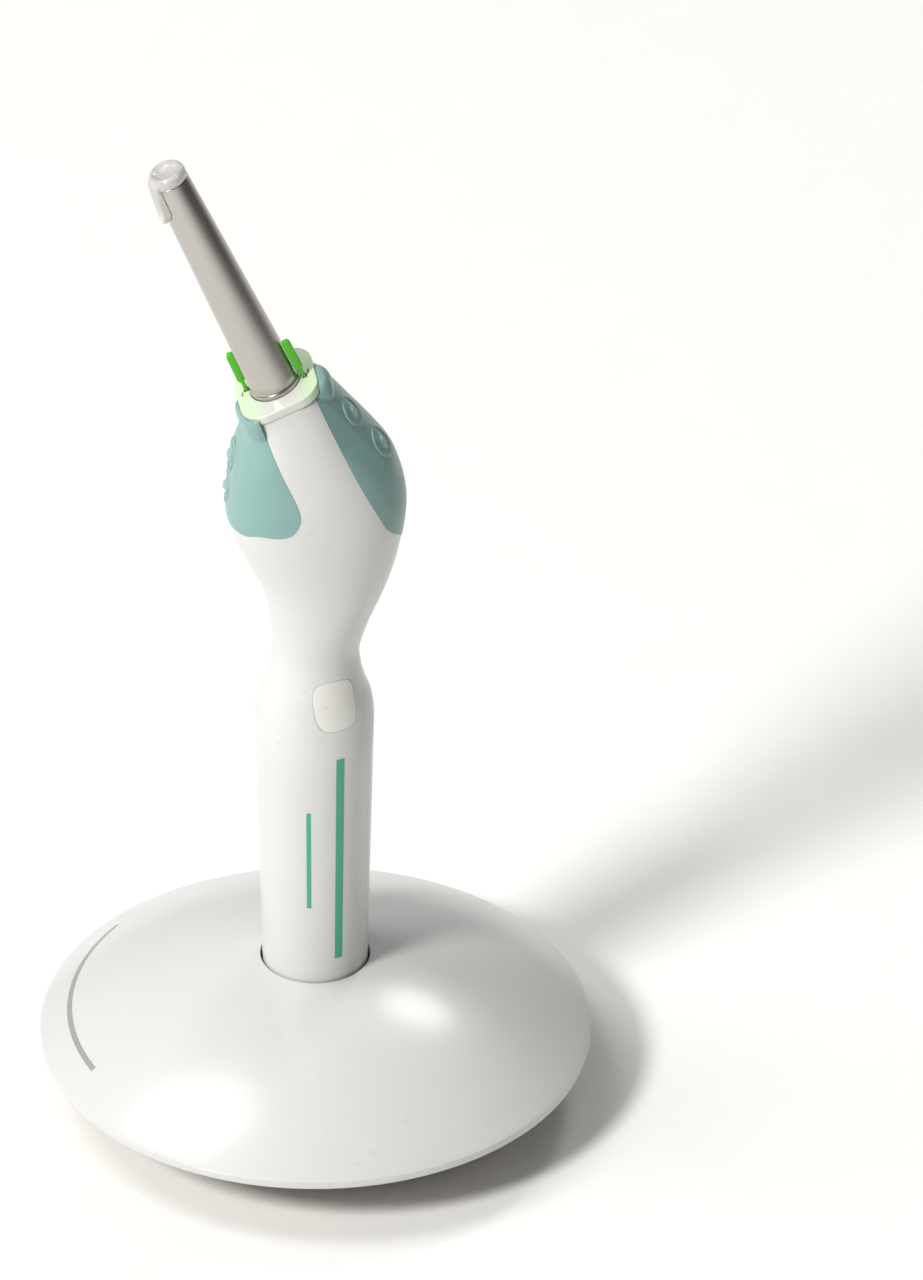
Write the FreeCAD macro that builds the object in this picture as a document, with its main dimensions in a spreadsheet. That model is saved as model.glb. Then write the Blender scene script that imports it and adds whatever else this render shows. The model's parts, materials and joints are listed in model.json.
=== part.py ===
"""Cordless dental curing light: a pen with a leaning head, standing in a round charging base.

Millimetres, +Z up. The origin is on the table under the middle of the base. The head and the
probe lean towards -X, and -Y is the side with the status window.
"""
import FreeCAD, Part
import math
import os
import Sketcher
from FreeCAD import Placement, Rotation, Vector

UP = Vector(0, 0, 1)
DIMENSIONS = {
    # charging base
    "base_radius": 55.0, "rim_low": 12.4, "dome_curve": 92.0, "dome_centre": -59.84,
    "dome_wall": 2.2, "rim_wall": 1.8, "hole_radius": 10.97, "seat_radius": 15.0, "seat_low": 28.2,
    "foot_height": 1.5, "foot_pad": 5.0, "foot_circle": 26.0,
    "tray_floor": 1.8, "tray_foot": 36.0, "tray_radius": 50.4, "tray_shoulder": 9.2,
    "tray_top": 10.6, "boss_circle": 31.8, "boss_radius": 2.8, "boss_top": 25.0,
    "screw_radius": 1.05, "pilot_radius": 1.1, "pilot_top": 15.0, "screw_head": 2.4,
    "cup_wall": 1.6, "cup_low": 11.7, "cup_floor": 13.2, "ballast_outer": 28.5,
    "ballast_inner": 20.0, "ballast_height": 8.0, "board_radius": 18.0, "board_low": 8.6,
    "board_thick": 1.6, "post_circle": 14.0, "post_radius": 2.0, "block_radius": 7.4,
    "pin_offset": 3.5, "pin_radius": 0.92, "pin_hole": 1.0, "pin_flange": 1.3, "spring_room": 1.45,
    # handle
    "foot_radius": 10.1, "shoulder_radius": 11.9, "shoulder_height": 90.3, "sleeve_wall": 1.4,
    "cell_radius": 8.2, "cell_low": 25.0, "cell_top": 75.0, "neck_low": 80.0, "neck_radius": 10.1,
    "neck_bore": 8.4, "seal_height": 86.0, "seal_circle": 9.7, "seal_wire": 0.6,
    # head: heights along the leaning axis are measured from lean_height
    "lean_angle": 22.5, "lean_height": 151.0, "shell_wall": 2.6, "grip_depth": 1.2,
    "grip_proud": 0.15, "collar_low": 18.2, "collar_top": 20.2, "collar_width": 16.5,
    "collar_depth": 18.4, "collar_corner": 5.0, "collar_bore": 5.7,
    "lip_height": 16.0, "lip_wire": 1.6, "twist": -10.0,
    # buttons
    "ring_circle": 3.2, "ring_wire": 0.42, "cap_radius": 1.9, "cap_gap": 0.08, "stem_radius": 0.9,
    "stem_gap": 0.08, "cap_room": 1.4,
    # probe
    "probe_foot": 5.1, "probe_tip": 3.8, "probe_end": 75.3, "probe_wall": 0.9, "step_radius": 5.35,
    "spigot_radius": 4.5, "core_radius": 5.4, "core_gap": 0.1, "rod_radius": 2.1,
    "lens_height": 71.0, "lens_radius": 2.5,
    "cap_top": 77.7, "cap_skirt": 66.5,
    # green clips
    "clip_out": 5.95, "clip_side": 1.9, "clip_width": 1.7, "clip_thick": 1.1, "clip_stem": 0.75,
}

# The head's sections from the shoulder to the collar: centre x and z, tilt in degrees, half width,
# half depth, and the power of the superellipse (2 is an ellipse, more is squarer).
HEAD_SECTIONS = [
    (0.0, 90.3, 0, 11.9, 11.9, 2.0), (0.05, 94.0, 0, 11.4, 11.4, 2.0),
    (0.1, 98.0, 0, 10.0, 10.0, 2.0), (0.2, 102.0, 0, 9.05, 9.05, 2.0),
    (0.35, 106.5, 0, 8.75, 8.75, 2.0), (1.1, 113.0, 0, 9.95, 9.9, 2.0),
    (1.9, 121.6, 0, 12.6, 11.6, 2.05), (1.4, 129.5, 2, 15.5, 13.2, 2.1),
    (0.65, 139.0, 8, 17.75, 14.6, 2.2), (-0.58, 145.8, 16, 17.6, 14.6, 2.2),
    (-2.1, 150.1, 22.5, 16.3, 14.0, 2.25), (-4.06, 157.5, 22.5, 13.15, 12.2, 2.4),
    (-4.8, 163.0, 22.5, 10.1, 10.6, 2.6), (-7.0, 167.8, 22.5, 8.2, 9.0, 3.0),
]
# Where each grip's edge runs, seen from the front: x and z from the collar down to the side.
LEFT_EDGE = [(-13.4, 169.5), (-9.2, 157.1), (-5.3, 147.5), (-6.2, 142.9), (-8.8, 141.2),
             (-12.8, 140.5), (-16.2, 138.9), (-24.0, 137.8)]
RIGHT_EDGE = [(-1.6, 171.5), (5.0, 156.0), (11.0, 143.2), (13.0, 139.1), (15.4, 136.0),
              (17.2, 133.8), (24.0, 131.5)]
# Middle of each button on the head's surface, and the way that each side's pair faces.
BUTTONS = {"right_upper": (7.0, -3.4, 163.5), "right_lower": (12.8, -3.7, 155.9),
           "left_upper": (-16.2, 2.8, 151.9), "left_lower": (-16.9, 3.6, 144.0)}
FACING = {"right": Vector(0.78, -0.19, 0.60), "left": Vector(-0.98, 0.16, 0.12)}

doc = FreeCAD.newDocument("curing_light")
sheet = doc.addObject("Spreadsheet::Sheet", "dims")
for row, (alias, number) in enumerate(DIMENSIONS.items(), start=1):
    sheet.set("A%d" % row, alias)
    sheet.set("B%d" % row, str(number))
    sheet.setAlias("B%d" % row, alias)
doc.recompute()


class Size:
    """A length with its value and the sheet formula that drives it."""

    def __init__(self, value, text):
        self.value = float(value)
        self.text = text

    def joined(self, other, sign, value, swap=False):
        parts = [self.text, as_size(other).text]
        if swap:
            parts.reverse()
        return Size(value, "(%s %s %s)" % (parts[0], sign, parts[1]))

    def __add__(self, other):
        return self.joined(other, "+", self.value + float(other))

    def __radd__(self, other):
        return self + other

    def __sub__(self, other):
        return self.joined(other, "-", self.value - float(other))

    def __rsub__(self, other):
        return self.joined(other, "-", float(other) - self.value, swap=True)

    def __mul__(self, other):
        return self.joined(other, "*", self.value * float(other))

    def __float__(self):
        return self.value


def as_size(number):
    return number if isinstance(number, Size) else Size(number, repr(float(number)))


def size(alias):
    return Size(sheet.get(alias), "dims." + alias)


def bind(thing, **sizes):
    for name, length in sizes.items():
        length = as_size(length)
        setattr(thing, name, length.value)
        thing.setExpression(name, length.text)
    return thing


def at(x=0.0, y=0.0, z=0.0, turn=None):
    return Placement(Vector(float(x), float(y), float(z)), turn or Rotation())


def named(thing, label, place=None):
    thing.Label = label
    if place is not None:
        thing.Placement = place
    return thing


def cylinder(label, radius, height, place=None):
    thing = bind(doc.addObject("Part::Cylinder", label), Radius=radius, Height=height)
    return named(thing, label, place)


def block(label, length, width, height, place=None):
    """A box centred on its own X and Y, standing on its Z."""
    thing = bind(doc.addObject("Part::Box", label), Length=length, Width=width, Height=height)
    centred = at(-as_size(length).value / 2, -as_size(width).value / 2)
    return named(thing, label, (place or at()).multiply(centred))


def torus(label, circle, wire, place=None):
    thing = bind(doc.addObject("Part::Torus", label), Radius1=circle, Radius2=wire)
    return named(thing, label, place)


def cut(label, base, *tools):
    tool = tools[0]
    if len(tools) > 1:
        tool = doc.addObject("Part::MultiFuse", label + "_tools")
        tool.Shapes = list(tools)
    thing = doc.addObject("Part::Cut", label)
    thing.Base, thing.Tool = base, tool
    return named(thing, label)


def joined(label, *things):
    thing = doc.addObject("Part::MultiFuse", label)
    thing.Shapes = list(things)
    thing.Refine = True
    return named(thing, label)


def common(label, *things):
    thing = doc.addObject("Part::MultiCommon", label)
    thing.Shapes = list(things)
    return named(thing, label)


def group(label, things):
    thing = doc.addObject("Part::Compound", label)
    thing.Links = list(things)
    return named(thing, label)


def solid(label, shape, place=None):
    thing = doc.addObject("Part::Feature", label)
    thing.Shape = shape
    return named(thing, label, place)


def turned(label, outline, place=None):
    """A body turned about Z from the straight-sided outline [(radius, height), ...]."""
    body = doc.addObject("PartDesign::Body", label)
    plane = [item for item in body.Origin.OriginFeatures if item.Role == "XZ_Plane"][0]
    sketch = body.newObject("Sketcher::SketchObject", label + "_outline")
    sketch.AttachmentSupport, sketch.MapMode = [(plane, "")], "FlatFace"
    corners = [(as_size(radius), as_size(height)) for radius, height in outline]
    points = [Vector(radius.value, height.value, 0) for radius, height in corners]
    for start, end in zip(points, points[1:] + points[:1]):
        sketch.addGeometry(Part.LineSegment(start, end), False)
    for index, (radius, height) in enumerate(corners):
        sketch.addConstraint(Sketcher.Constraint("Coincident", index - 1 if index else
                                                 len(corners) - 1, 2, index, 1))
        if radius.value == 0.0:
            sketch.addConstraint(Sketcher.Constraint("PointOnObject", index, 1, -2))
        else:
            hold(sketch, "DistanceX", index, radius)
        hold(sketch, "DistanceY", index, height)
    spin = body.newObject("PartDesign::Revolution", label + "_turn")
    spin.Profile, spin.ReferenceAxis, spin.Angle = sketch, (sketch, ["V_Axis"]), 360.0
    sketch.Visibility = False
    return named(body, label, place)


def hold(sketch, kind, index, length):
    number = sketch.addConstraint(Sketcher.Constraint(kind, -1, 1, index, 1, length.value))
    name = "%s_%d" % (kind, index)
    sketch.renameConstraint(number, name)
    sketch.setExpression("Constraints." + name, length.text)


def round_the_axis(count, circle, start=0.0):
    for step in range(count):
        angle = math.radians(start + 360.0 * step / count)
        yield math.cos(angle) * circle.value, math.sin(angle) * circle.value


LEAN = at(0, 0, size("lean_height"), Rotation(Vector(0, 1, 0), -size("lean_angle").value))


def superellipse(half_width, half_depth, power, place, count=24):
    """A closed smooth curve in the XY plane of its place."""
    points = []
    for step in range(count):
        angle = 2 * math.pi * step / count
        across, along = math.cos(angle), math.sin(angle)
        reach = (abs(across) ** power + abs(along) ** power) ** (-1.0 / power)
        points.append(place.multVec(Vector(half_width * reach * across,
                                           half_depth * reach * along, 0)))
    curve = Part.BSplineCurve()
    curve.interpolate(Points=points, PeriodicFlag=True)
    return Part.Wire(curve.toShape())


def head_form(inset, sections=HEAD_SECTIONS):
    """The head's outer form, drawn in by inset all round."""
    wires = []
    for centre_x, centre_z, tilt, half_width, half_depth, power in sections:
        place = at(centre_x, 0, centre_z, Rotation(Vector(0, 1, 0), -tilt))
        wires.append(superellipse(half_width - inset, half_depth - inset, power, place))
    return Part.makeLoft(wires, True, False)


def lengthened(sections, low, high):
    """The same sections with the two end ones moved out, for a cutting form."""
    first, last = sections[0], sections[-1]
    lean = math.radians(last[2])
    lower = (first[0], first[1] - low) + first[2:]
    upper = (last[0] - high * math.sin(lean), last[1] + high * math.cos(lean)) + last[2:]
    return [lower] + sections[1:-1] + [upper]


def grip_region(edge, side):
    """Everything on one side of a grip's edge, right through the head from front to back."""
    reach, depth = 40.0, 25.0
    start, end = Vector(edge[0][0], -depth, edge[0][1]), Vector(edge[-1][0], -depth, edge[-1][1])
    curve = Part.BSplineCurve()
    curve.interpolate([Vector(x, -depth, z) for x, z in edge])
    far_high = Vector(side * reach, -depth, start.z)
    far_low = Vector(side * reach, -depth, end.z)
    outline = Part.Wire([curve.toShape(), Part.LineSegment(end, far_low).toShape(),
                         Part.LineSegment(far_low, far_high).toShape(),
                         Part.LineSegment(far_high, start).toShape()])
    return Part.Face(outline).extrude(Vector(0, 2 * depth, 0))


def facing(point, direction):
    """A place at point whose Z looks along direction and whose X stays level."""
    outward = Vector(direction).normalize()
    level = outward.cross(UP).normalize()
    return Placement(Vector(*point), Rotation(level, outward.cross(level), outward, "ZXY"))


def coil(circle, wire, low, high, pitch, place=None):
    helix = Part.makeLongHelix(pitch, high - low, circle)
    helix.translate(Vector(0, 0, low))
    start = Vector(circle, 0, low)
    section = Part.Wire(Part.makeCircle(wire, start, Vector(0, 1, 0)))
    shape = Part.Wire(helix).makePipeShell([section], True, True)
    if place is not None:
        shape.Placement = place
    return shape


# ---------------------------------------------------------------- charging base
def make_dome():
    rim = size("rim_low")
    centre = at(0, 0, size("dome_centre"))
    outer = bind(doc.addObject("Part::Sphere", "dome_outer"), Radius=size("dome_curve"))
    inner = bind(doc.addObject("Part::Sphere", "dome_inner"),
                 Radius=size("dome_curve") - size("dome_wall"))
    outer.Placement = inner.Placement = centre
    skin = common("dome_skin", outer, cylinder("dome_disc", size("base_radius"), 25, at(z=rim)))
    hollow = common("dome_hollow", inner, cylinder("dome_bore", size("base_radius")
                                                   - size("rim_wall"), 30, at(z=float(rim) - 1)))
    shell = cut("dome_shell", skin, hollow)
    seat = cylinder("dome_seat", size("seat_radius"), 30.0 - size("seat_low"),
                    at(z=size("seat_low")))
    low = size("foot_height") + size("tray_floor")
    bosses = [cylinder("boss_%d" % number, size("boss_radius"), size("boss_top") - low,
                       at(x, y, low))
              for number, (x, y) in enumerate(round_the_axis(4, size("boss_circle"), 45))]
    pilots = [cylinder("pilot_%d" % number, size("pilot_radius"), size("pilot_top") - low + 1,
                       at(x, y, float(low) - 1))
              for number, (x, y) in enumerate(round_the_axis(4, size("boss_circle"), 45))]
    hole = cylinder("dome_hole", size("hole_radius"), 12, at(z=24))
    return cut("base_dome", joined("dome_body", shell, seat, *bosses), hole, *pilots)


def make_tray():
    low, floor = size("foot_height"), size("foot_height") + size("tray_floor")
    edge, wall = size("tray_radius"), 1.8
    dish = turned("tray_dish", [(0, low), (size("tray_foot"), low), (edge, size("tray_shoulder")),
                                (edge, size("tray_top")), (edge - wall, size("tray_top")),
                                (size("tray_foot") - 0.9, floor), (0, floor)])
    posts = [cylinder("post_%d" % number, size("post_radius"), size("board_low") - floor,
                      at(x, y, floor))
             for number, (x, y) in enumerate(round_the_axis(3, size("post_circle"), 30))]
    holes = [cylinder("tray_hole_%d" % number, size("pilot_radius") + 0.4, 5, at(x, y, 0))
             for number, (x, y) in enumerate(round_the_axis(4, size("boss_circle"), 45))]
    window = block("inlet_opening", 9.2, 16, 8, at(0, 45, 3.8))
    return cut("base_tray", joined("tray_body", dish, *posts), window, *holes)


def make_base_insides():
    bore, low, floor = size("hole_radius"), size("cup_low"), size("cup_floor")
    outer, top = bore + size("cup_wall"), size("seat_low")
    turned("socket_cup", [(size("block_radius") + 0.1, low), (outer, low), (outer, top - 1.5),
                          (outer + 2, top - 1.5), (outer + 2, top), (bore, top), (bore, floor),
                          (size("block_radius") + 0.1, floor)])
    tray = size("foot_height") + size("tray_floor")
    ring_top = tray + size("ballast_height")
    turned("ballast_ring", [(size("ballast_inner"), tray), (size("ballast_outer"), tray),
                            (size("ballast_outer"), ring_top), (size("ballast_inner"), ring_top)])
    cylinder("charger_board", size("board_radius"), size("board_thick"), at(z=size("board_low")))
    board = size("board_low") + size("board_thick")
    body = cylinder("block_body", size("block_radius"), floor - board, at(z=board))
    holes = []
    for number, side in enumerate((-1, 1)):
        place = at(side * size("pin_offset").value, 0, board)
        holes.append(cylinder("spring_room_%d" % number, size("spring_room"), 1.8, place))
        holes.append(cylinder("pin_room_%d" % number, size("pin_hole"), 5, place))
    cut("contact_block", body, *holes)
    for name, side in (("left", -1), ("right", 1)):
        place = at(side * size("pin_offset").value)
        shaft, flange = size("pin_radius"), size("pin_flange")
        turned("pin_" + name, [(0, 11.3), (flange, 11.3), (flange, 11.9), (shaft, 11.9),
                               (shaft, 13.45), (shaft - 0.2, 13.65), (0, 13.65)], place)
        solid("pin_spring_" + name, coil(1.1, 0.13, 10.36, 11.14, 0.45), place)


def make_base_fittings():
    case = block("jack_case", 9, 9.5, 6, at(0, 41.75, 3.9))
    sideways = Rotation(Vector(1, 0, 0), -90)
    bore = cylinder("jack_bore", 2.75, 8, at(0, 38.6, 6.9, sideways))
    pin = cylinder("jack_pin", 0.65, 7.5, at(0, 38.5, 6.9, sideways))
    joined("power_inlet", cut("jack_shell", case, bore), pin)
    group("rubber_feet", [cylinder("foot_%d" % number, size("foot_pad"), size("foot_height"),
                                   at(x, y, 0))
                          for number, (x, y) in enumerate(round_the_axis(4, size("foot_circle")))])
    low, head, shank = size("foot_height"), size("screw_head"), size("screw_radius")
    group("base_screws", [turned("base_screw_%d" % number,
                                 [(0, low - 1), (head, low - 1), (head, low), (shank, low),
                                  (shank, 11.2), (0, 12)], at(x, y, 0))
                          for number, (x, y) in enumerate(round_the_axis(4, size("boss_circle"),
                                                                         45))])


# ---------------------------------------------------------------- handle
def make_handle():
    low, top = size("cup_floor"), size("shoulder_height")
    foot, shoulder, wall = size("foot_radius"), size("shoulder_radius"), size("sleeve_wall")
    turned("handle_sleeve", [(foot - wall, low), (foot - 0.4, low), (foot, low + 0.6),
                             (shoulder, top), (shoulder - wall, top)])
    plug = cylinder("end_plug", foot - wall - 0.05, 4, at(z=low))
    rooms, pads = [], []
    for number, side in enumerate((-1, 1)):
        across = side * size("pin_offset").value
        rooms.append(cylinder("pad_room_%d" % number, 2.0, 1.2, at(across, 0, low)))
        pads.append(cylinder("pad_%d" % number, 2.0, 0.7, at(across, 0, low + 0.5)))
    cut("end_cap", plug, *rooms)
    group("charge_contacts", pads)
    solid("cell_spring", coil(4.0, 0.35, 17.7, 24.5, 1.6))
    cell, cell_low, cell_top = size("cell_radius"), size("cell_low"), size("cell_top")
    turned("battery_cell", [(0, cell_low), (cell, cell_low), (cell, cell_top - 1), (2.7, cell_top - 1),
                            (2.7, cell_top), (0, cell_top)])
    cylinder("cell_plate", cell, 1, at(z=cell_top))
    torus("sleeve_seal", size("seal_circle"), size("seal_wire") - 0.02, at(z=size("seal_height")))


# ---------------------------------------------------------------- head
def window_region():
    """A rounded four-sided column through the shoulder, where the status window sits."""
    corners = [(-3.7, 101.5), (-2.5, 102.5), (2.9, 102.3), (4.1, 101.3), (4.9, 96.5), (4.1, 94.2),
               (2.0, 92.4), (-1.9, 92.4), (-3.9, 94.2), (-4.5, 96.7)]
    curve = Part.BSplineCurve()
    curve.interpolate(Points=[Vector(x, 0, z) for x, z in corners], PeriodicFlag=True)
    column = Part.Face(Part.Wire(curve.toShape())).extrude(Vector(0, -20, 0))
    column.Placement = at(turn=Rotation(UP, 14))
    return column


def button_places():
    for name, point in BUTTONS.items():
        yield name, facing(point, FACING[name.split("_")[0]])


def placed(shape, place):
    shape.Placement = place
    return shape


def make_head():
    outer, under_grips = head_form(0.0), head_form(size("grip_depth").value,
                                                   lengthened(HEAD_SECTIONS, 0, 1.5))
    cavity = head_form(size("shell_wall").value, lengthened(HEAD_SECTIONS, 0, 2))
    window_floor = head_form(1.0)
    regions = {"left": grip_region(LEFT_EDGE, -1), "right": grip_region(RIGHT_EDGE, 1)}
    neck = Part.makeCylinder(size("neck_radius").value, 12, Vector(0, 0, size("neck_low").value))
    neck_bore = Part.makeCylinder(size("neck_bore").value, 14,
                                  Vector(0, 0, size("neck_low").value - 1))
    groove = Part.makeTorus(size("seal_circle").value, size("seal_wire").value,
                            Vector(0, 0, size("seal_height").value))
    window = outer.common(window_region()).cut(window_floor)
    solid("status_window", window)
    light_way = placed(Part.makeCylinder(1.5, 20), Placement(Vector(0, 0, 98), Rotation(
        Vector(0, 0, 1), Vector(math.sin(math.radians(14)), -math.cos(math.radians(14)), 0))))
    shell = outer.cut(cavity).fuse(neck).cut(neck_bore).cut(groove).cut(window)
    skin = {}
    for side, region in regions.items():
        skin[side] = outer.common(region).cut(under_grips)
        shell = shell.cut(skin[side])
    stem, cap = size("stem_radius") + size("stem_gap"), size("cap_radius") + size("cap_gap")
    depth = size("cap_room").value
    ways = [placed(Part.makeCylinder(stem.value, 12, Vector(0, 0, -10)), place)
            for _, place in button_places()]
    rooms = [placed(Part.makeCylinder(cap.value, 4, Vector(0, 0, -depth)), place)
             for _, place in button_places()]
    core_bore = placed(Part.makeCylinder((size("core_radius") + size("core_gap")).value, 9,
                                         Vector(0, 0, 11.8)), LEAN)
    shell = shell.cut(Part.makeCompound(ways)).cut(Part.makeCompound(rooms))
    shell = shell.cut(light_way).cut(core_bore)
    solid("head_housing", shell)
    make_grips(regions, under_grips)


def make_grips(regions, under_grips):
    proud = head_form(-size("grip_proud").value)
    lip = make_lip()
    for side, region in regions.items():
        grip = proud.fuse(lip).common(region).cut(under_grips)
        for name, place in button_places():
            if name.startswith(side):
                ring = placed(Part.makeTorus(size("ring_circle").value, size("ring_wire").value,
                                             Vector(0, 0, 0.05)), place)
                hole = placed(Part.makeCylinder(size("cap_radius").value + size("cap_gap").value,
                                                8, Vector(0, 0, -4)), place)
                grip = grip.fuse(ring).cut(hole)
        solid("grip_" + side, biggest(grip))


def biggest(shape):
    return max(shape.Solids, key=lambda piece: piece.Volume)


def make_lip():
    """The rolled edge under the collar: squarish sections that swell and draw in again."""
    wire, wires = size("lip_wire").value, []
    for step in range(9):
        angle = math.pi * step / 8
        swell = wire * math.sin(angle)
        place = LEAN.multiply(at(z=size("lip_height") - wire * math.cos(angle)))
        wires.append(superellipse(8.9 + swell, 8.5 + swell, 2.8, place, 16))
    return Part.makeLoft(wires, True, False)


def make_buttons():
    cap, stem = size("cap_radius"), size("stem_radius")
    for name, place in button_places():
        turned("button_" + name, [(0, -2.95), (stem, -2.95), (stem, -0.6), (cap, -0.6),
                                  (cap, 0.3), (cap * 0.8, 0.62), (cap * 0.45, 0.8), (0, 0.85)],
               place)
    for side in ("left", "right"):
        pair = [(name, place) for name, place in button_places() if name.startswith(side)]
        group("switches_" + side,
              [joined("switch_" + name,
                      block("switch_case_" + name, 3, 3, 0.8, place.multiply(at(z=-4.7))),
                      cylinder("switch_plunger_" + name, 0.7, 0.3, place.multiply(at(z=-3.9))))
               for name, place in pair])
        middle = (pair[0][1].Base + pair[1][1].Base) * 0.5
        row = (pair[0][1].Base - pair[1][1].Base)
        outward = Vector(FACING[side]).normalize()
        turn = Rotation(outward.cross(row), row, outward, "ZYX")
        block("switch_board_" + side, 5, row.Length + 4, 0.8,
              Placement(middle - outward * 5.6, turn))


def make_head_insides():
    block("control_board", 14, 1.2, 24, at(1.5, 0, 114))
    slant = Rotation(UP, 14)
    block("status_board", 5, 0.8, 8, at(turn=slant).multiply(at(0, -5.6, 94)))
    block("status_lamp", 1.6, 0.8, 1.6, at(turn=slant).multiply(at(0, -6.4, 97.2)))
    spigot, step = size("spigot_radius"), size("step_radius")
    low = size("collar_low")
    rod, core = size("rod_radius"), size("core_radius")
    turned("head_core", [(spigot, 13.2), (rod, 13.2), (rod, 12.0), (core, 12.0), (core, low),
                         (spigot, low)], LEAN)
    foot, tip, end = size("probe_foot"), size("probe_tip"), size("probe_end")
    wall = size("probe_wall")
    tube = turned("probe_shell", [(spigot - wall, 13.2), (spigot, 13.2), (spigot, low + 0.2),
                                  (step, low + 0.2), (step, low + 2.9), (foot, low + 3.1),
                                  (tip, end), (0, end), (0, end - 0.8), (tip - wall, end - 0.8),
                                  (foot - wall, low + 2)], LEAN)
    sideways = Rotation(Vector(0, 1, 0), -90)
    eye = LEAN.multiply(at(0, 0, size("lens_height"), sideways))
    cut("probe_tube", tube, cylinder("lens_eye", size("lens_radius"), 6, eye))
    turned("tip_lens", [(0, 2.2), (size("lens_radius"), 2.2), (size("lens_radius"), 2.85),
                        (size("lens_radius") * 0.6, 3.45), (0, 3.65)], eye)
    cylinder("heat_rod", rod, 54.8, LEAN.multiply(at(z=13.2)))
    module = block("module_case", 3.0, 3.6, 5.4, LEAN.multiply(at(0.3, 0, 68)))
    joined("led_module", module, cylinder("module_chip", 1.2, 2.1, eye))
    group("led_leads", [cylinder("lead_%d" % number, 0.25, 54, LEAN.multiply(
        at(0, side * 2.4, 13.4))) for number, side in enumerate((-1, 1))])
    torus("probe_seal", size("collar_bore") - 0.18, 0.16, LEAN.multiply(at(z=low + 0.9)))


def make_collar():
    width, depth, corner = size("collar_width"), size("collar_depth"), size("collar_corner").value
    low, thick = size("collar_low"), size("collar_top") - size("collar_low")
    plate = block("collar_block", width, depth, thick, LEAN.multiply(at(z=low)))
    doc.recompute()
    rounded = doc.addObject("Part::Fillet", "collar_plate")
    rounded.Base = plate
    lean_axis = LEAN.Rotation.multVec(UP)
    upright = [number for number, edge in enumerate(plate.Shape.Edges, start=1)
               if abs(edge.tangentAt(edge.FirstParameter).dot(lean_axis)) > 0.99]
    rounded.Edges = [(number, corner, corner) for number in upright]
    bore = cylinder("collar_hole", size("collar_bore"), 4, LEAN.multiply(at(z=float(low) - 1)))
    openings = []
    for number, side in enumerate((-1, 1)):
        turn = Rotation(UP, size("twist").value)
        slot = LEAN.multiply(at(turn=turn)).multiply(at(side * 7.0, side * 0.3, 19.4))
        openings.append(block("slot_%d" % number, 0.35, 1.5, 2, slot))
        way = LEAN.multiply(at(side * size("clip_out").value, -side * size("clip_side").value,
                               float(low) + 0.2))
        openings.append(block("clip_way_%d" % number, size("clip_stem") + 0.36,
                              size("clip_thick") + 0.2, 4, way))
    cut("collar_ring", rounded, bore, *openings)


def make_clips():
    """Green paddles, each on a narrow springy stem that stands in the collar."""
    for name, side in (("left", -1), ("right", 1)):
        place = LEAN.multiply(at(side * size("clip_out").value, -side * size("clip_side").value, 0))
        lean_in = Rotation(Vector(0, 1, 0), -side * 1.3)
        place = place.multiply(at(z=18.55, turn=lean_in))
        stem = block("clip_stem_" + name, size("clip_stem"), size("clip_thick"), 4.6, place)
        paddle = block("clip_paddle_" + name, size("clip_width"), size("clip_thick"), 7,
                       place.multiply(at(z=4.4)))
        joined("clip_" + name, stem, paddle)


def make_tip_cap():
    """A clear shield: a rounded end and a tongue that covers the lens."""
    end, top, tip = size("probe_end"), size("cap_top"), size("probe_tip")
    dome = turned("cap_dome", [(0, end), (tip, end), (tip + 0.05, end + 0.9), (tip - 0.5, top - 0.5),
                               (tip - 1.4, top), (0, top)], LEAN)
    sideways = Rotation(Vector(0, 1, 0), -90)
    tongue = joined("tongue_column",
                    cylinder("tongue_end", 3.2, 6, LEAN.multiply(
                        at(0, 0, size("cap_skirt") + 3.2, sideways))),
                    block("tongue_bar", 6, 6.4, top - size("cap_skirt") - 3.9,
                          LEAN.multiply(at(-3, 0, size("cap_skirt") + 3.2))))
    skin = turned("tongue_skin", [(3.0, 66), (5.2, 66), (5.25, 69), (4.35, 76.2), (3.0, 77)], LEAN)
    probe = turned("tongue_bore", [(0, 60), (tip + 0.38 + 0.05, 60), (tip + 0.05, end), (0, end)],
                   LEAN)
    shield = cut("cap_shield", common("cap_tongue", tongue, skin), probe)
    joined("tip_cap", dome, shield)


NODES = ["base_dome", "base_tray", "socket_cup", "ballast_ring", "charger_board", "contact_block",
         "pin_left", "pin_right", "pin_spring_left", "pin_spring_right", "power_inlet",
         "rubber_feet", "base_screws", "handle_sleeve", "end_cap", "charge_contacts", "cell_spring",
         "battery_cell", "cell_plate", "sleeve_seal", "head_housing", "status_window",
         "status_board", "status_lamp", "grip_left", "grip_right", "button_left_upper",
         "button_left_lower", "button_right_upper", "button_right_lower", "switches_left",
         "switches_right", "switch_board_left", "switch_board_right", "control_board", "head_core",
         "collar_ring", "clip_left", "clip_right", "probe_tube", "heat_rod", "led_module",
         "led_leads", "tip_lens", "tip_cap", "probe_seal"]

make_dome()
make_tray()
make_base_insides()
make_base_fittings()
make_handle()
make_head()
make_buttons()
make_head_insides()
make_collar()
make_clips()
make_tip_cap()
doc.recompute()

for thing in doc.Objects:
    if "Invalid" in thing.State or "Error" in thing.State:
        raise RuntimeError("%s did not build: %s" % (thing.Label, thing.State))
os.makedirs("parts", exist_ok=True)
for node in NODES:
    shape = doc.getObjectsByLabel(node)[0].Shape
    if shape.isNull() or not shape.isValid() or not shape.Solids:
        raise RuntimeError("%s has no valid solid" % node)
    shape.exportStep("parts/%s.step" % node)
    print("%-20s solids %d  volume %9.1f" % (node, len(shape.Solids), shape.Volume))
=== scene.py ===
"""Looks for a cordless dental curing light: a pen with a leaning head in a round charging base.

Metres, +Z up, with lengths written in millimetres and turned by MM. The head leans towards -X,
and -Y is the side with the status window.
"""
import json
import math

import bmesh
import bpy
from mathutils import Matrix, Vector
from mathutils.bvhtree import BVHTree


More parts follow.
